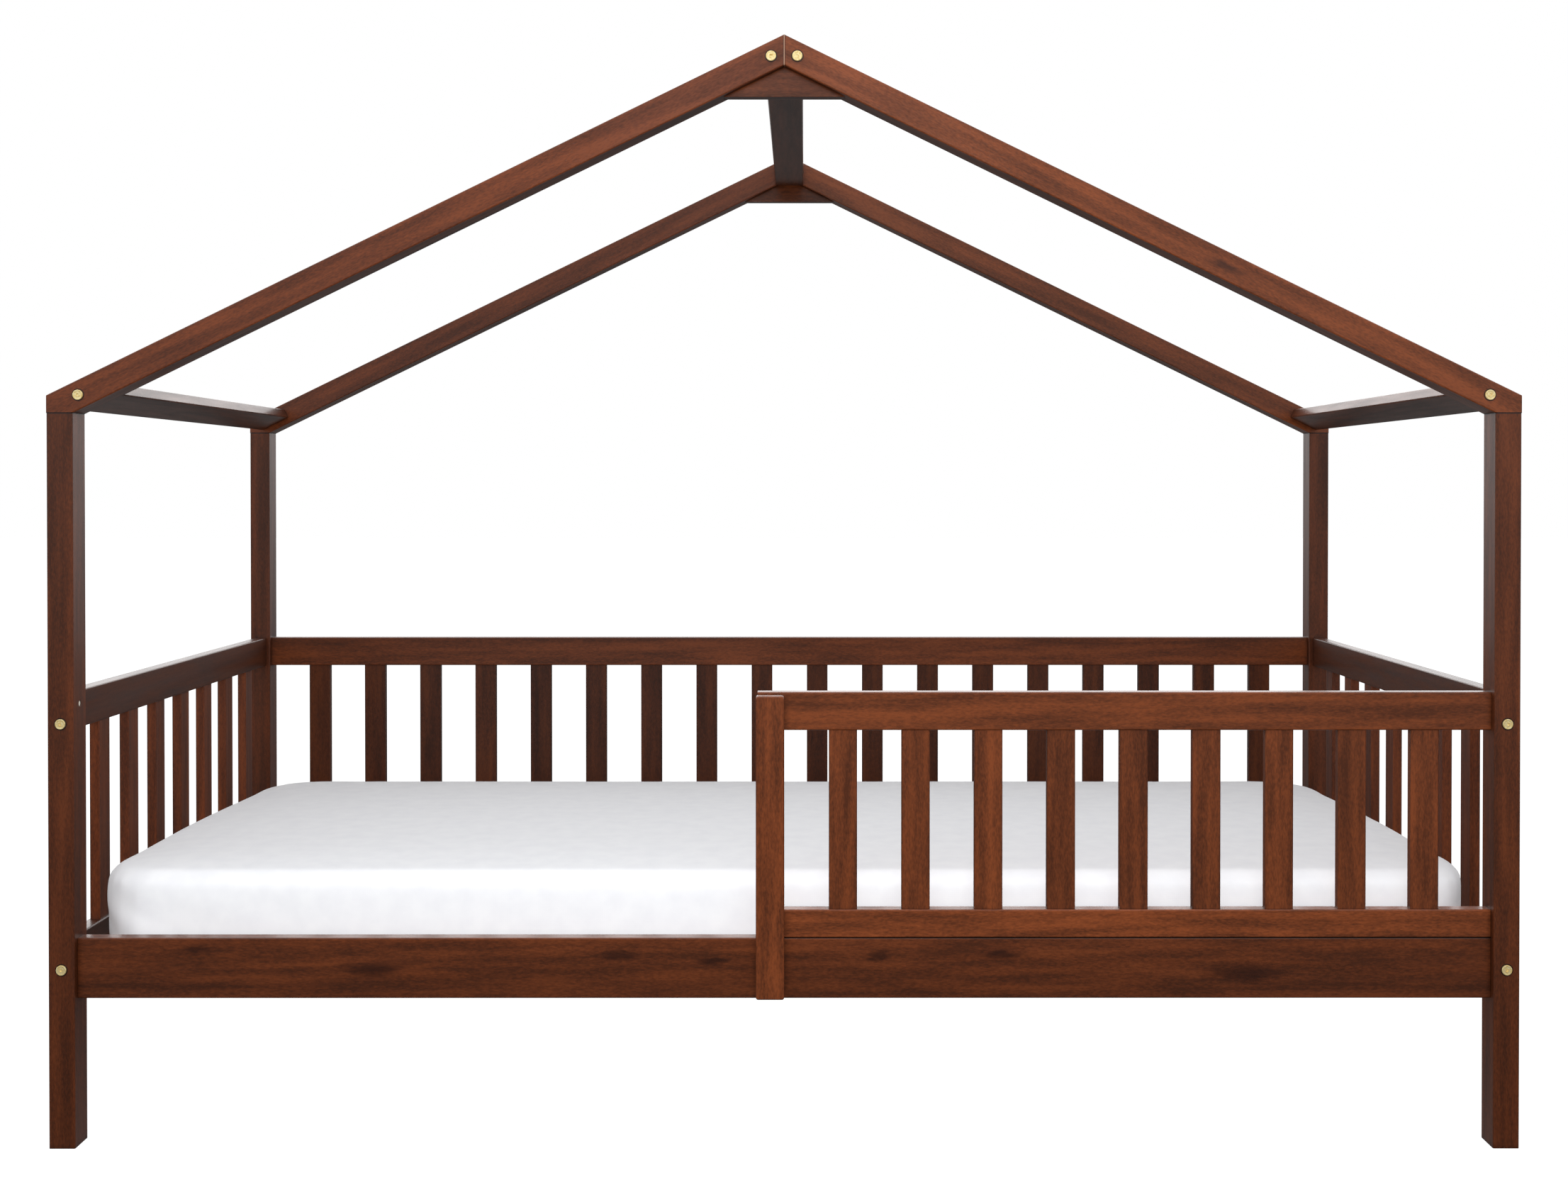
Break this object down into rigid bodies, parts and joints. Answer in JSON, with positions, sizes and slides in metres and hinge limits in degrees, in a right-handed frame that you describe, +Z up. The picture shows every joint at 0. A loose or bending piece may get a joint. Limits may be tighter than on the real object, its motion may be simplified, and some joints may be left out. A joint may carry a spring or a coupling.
{
  "type": "house frame bed",
  "caption": "Child's single bed with a house-shaped roof frame, slatted panels, a half-length front guard and a mattress that lifts out.",
  "frame": {"origin": "on the floor, in the middle of the overall box", "axes": "+X along the bed, to the right as seen from the open side; -Y is the open side with the guard; +Z up"},
  "size_m": [2.08, 0.9898, 1.5726],
  "materials": {
    "stained_wood": "dark walnut stain under satin lacquer",
    "raw_pine": "planed, untreated",
    "brass": "bright plated",
    "steel": "zinc plated",
    "plug": "plain",
    "mattress_cover": "smooth white cotton sheet"
  },
  "bodies": {
    "bed_frame": {"back_bolts": "brass", "back_slats": "stained_wood", "back_upper_rail": "stained_wood", "base_slat_1": "raw_pine", "base_slat_10": "raw_pine", "base_slat_11": "raw_pine", "base_slat_12": "raw_pine", "base_slat_13": "raw_pine", "base_slat_2": "raw_pine", "base_slat_3": "raw_pine", "base_slat_4": "raw_pine", "base_slat_5": "raw_pine", "base_slat_6": "raw_pine", "base_slat_7": "raw_pine", "base_slat_8": "raw_pine", "base_slat_9": "raw_pine", "eave_beam_left": "stained_wood", "eave_beam_right": "stained_wood", "end_rail_lower_left": "stained_wood", "end_rail_lower_right": "stained_wood", "end_rail_upper_left": "stained_wood", "end_rail_upper_right": "stained_wood", "end_slats_left": "stained_wood", "end_slats_right": "stained_wood", "front_bolts": "brass", "guard_bottom_rail": "stained_wood", "guard_hole_plug": "plug", "guard_pin": "steel", "guard_slat_1": "stained_wood", "guard_slat_2": "stained_wood", "guard_slat_3": "stained_wood", "guard_slat_4": "stained_wood", "guard_slat_5": "stained_wood", "guard_slat_6": "stained_wood", "guard_slat_7": "stained_wood", "guard_slat_8": "stained_wood", "guard_slat_9": "stained_wood", "guard_stile": "stained_wood", "guard_top_rail": "stained_wood", "gusset_back": "stained_wood", "gusset_front": "stained_wood", "ledger_back": "raw_pine", "ledger_front": "raw_pine", "post_back_left": "stained_wood", "post_back_right": "stained_wood", "post_front_left": "stained_wood", "post_front_right": "stained_wood", "rafter_back_left": "stained_wood", "rafter_back_right": "stained_wood", "rafter_front_left": "stained_wood", "rafter_front_right": "stained_wood", "ridge_beam": "stained_wood", "side_rail_back": "stained_wood", "side_rail_front": "stained_wood"},
    "mattress": {"mattress": "mattress_cover"}
  },
  "joints": [
    {"name": "mattress_lift", "type": "slide", "parent": "bed_frame", "child": "mattress", "axis": [0, 0, 1], "range_m": [0, 0.4]}
  ]
}
